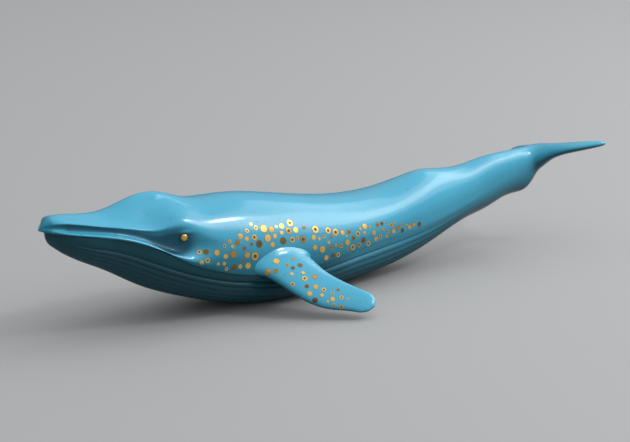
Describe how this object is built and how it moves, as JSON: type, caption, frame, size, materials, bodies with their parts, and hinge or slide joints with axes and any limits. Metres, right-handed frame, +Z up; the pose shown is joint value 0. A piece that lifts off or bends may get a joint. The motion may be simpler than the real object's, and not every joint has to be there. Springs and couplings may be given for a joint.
{
  "type": "whale figurine",
  "caption": "Glazed porcelain whale ornament with a pleated throat and belly, swept flippers and raised flukes, resting on a ground belly foot.",
  "frame": {"origin": "on the resting surface, under the middle of the bounding box", "axes": "+X from the nose towards the tail flukes, +Y to the whale's right, +Z up"},
  "size_m": [0.248, 0.0954, 0.0475],
  "materials": {
    "blue_glaze": "glossy turquoise-blue glaze with gold lustre dots",
    "gold_lustre": "fired gold lustre"
  },
  "bodies": {
    "root": {"upper_body": "blue_glaze", "lower_body": "blue_glaze", "left_flipper": "blue_glaze", "right_flipper": "blue_glaze", "tail_flukes": "blue_glaze", "left_eye": "gold_lustre", "right_eye": "gold_lustre"}
  },
  "joints": []
}
